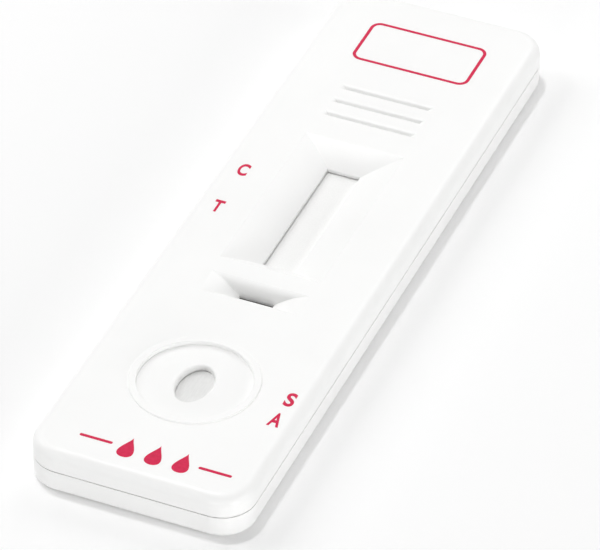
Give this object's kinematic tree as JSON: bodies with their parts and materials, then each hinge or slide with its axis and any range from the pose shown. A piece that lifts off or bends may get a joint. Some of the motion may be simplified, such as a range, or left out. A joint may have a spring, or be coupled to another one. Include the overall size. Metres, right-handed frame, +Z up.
{
  "type": "lateral flow cassette",
  "caption": "Flat white test cassette of two press-fit shells around a lateral flow strip, with a rimmed sample well, a slot, a sloped read window and grip grooves.",
  "frame": {"origin": "middle of the base's underside, on the surface that the cassette lies on", "axes": "+Y along the case from the sample end to the wick end, +X across it to the right, +Z up out of the read window"},
  "size_m": [0.02, 0.07, 0.0044],
  "materials": {
    "shell": "satin moulded polystyrene",
    "card": "plain",
    "membrane": "porous, matt",
    "conjugate_pad": "glass fibre, dyed",
    "sample_pad": "cellulose fibre",
    "absorbent_pad": "cellulose fibre",
    "print_ink": "crimson pad-print ink film"
  },
  "bodies": {
    "root": {"upper_shell": "shell", "lower_shell": "shell", "backing_card": "card", "nitrocellulose_membrane": "membrane", "conjugate_pad": "conjugate_pad", "sample_pad": "sample_pad", "absorbent_pad": "absorbent_pad"}
  },
  "joints": []
}
